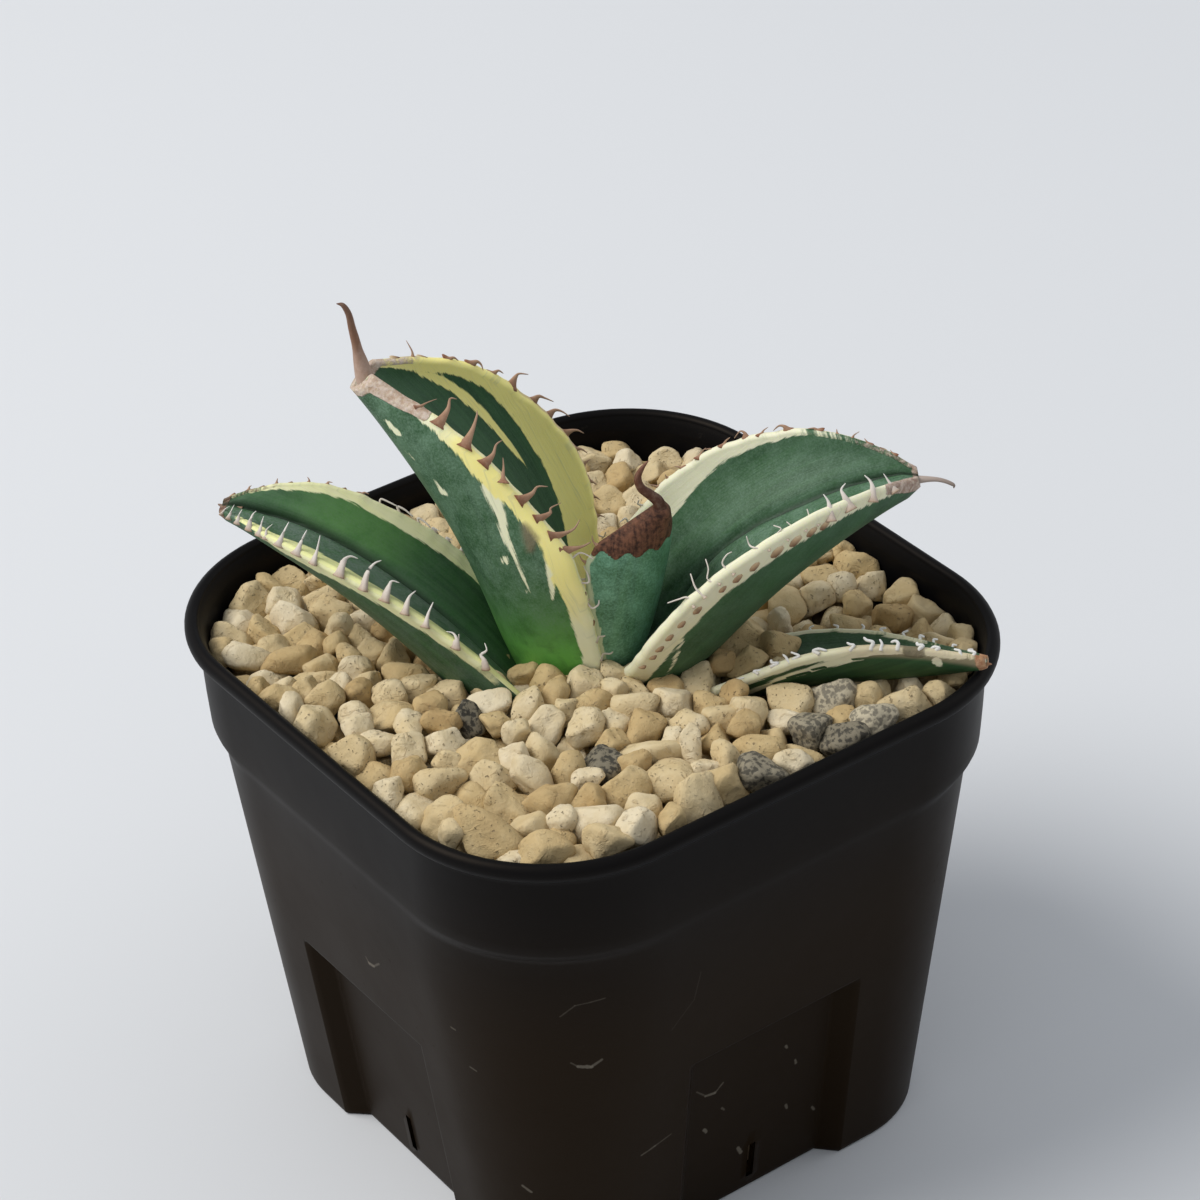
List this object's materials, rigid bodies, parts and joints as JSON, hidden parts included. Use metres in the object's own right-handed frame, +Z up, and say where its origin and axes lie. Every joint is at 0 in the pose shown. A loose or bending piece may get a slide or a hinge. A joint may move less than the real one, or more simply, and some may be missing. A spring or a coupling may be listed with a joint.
{
  "type": "potted variegated agave titanota",
  "caption": "Young variegated agave with thick folded toothed leaves and horny spines, in a square black nursery pot topped with pumice gravel.",
  "frame": {"origin": "centre of the pot's underside, on the surface that the pot stands on", "axes": "+Z up along the pot's axis; the pot's flat sides face +X, -X, +Y and -Y; the corner between -X and -Y is the near one in the picture"},
  "size_m": [0.105, 0.105, 0.1453],
  "materials": {
    "black_plastic": "satin black moulded plastic",
    "mix": "rough granular potting mix",
    "pumice": "dry matte pumice pebbles",
    "stem": "dry fibrous stem and roots",
    "leaf": "waxy satin leaf, green with cream margins"
  },
  "bodies": {
    "root": {"pot": "black_plastic", "potting_mix": "mix", "pumice_gravel": "pumice", "stem_and_roots": "stem", "leaf_centre": "leaf", "leaf_left_tall": "leaf", "leaf_right_tall": "leaf", "leaf_left_low": "leaf", "leaf_right_low": "leaf"}
  },
  "joints": []
}
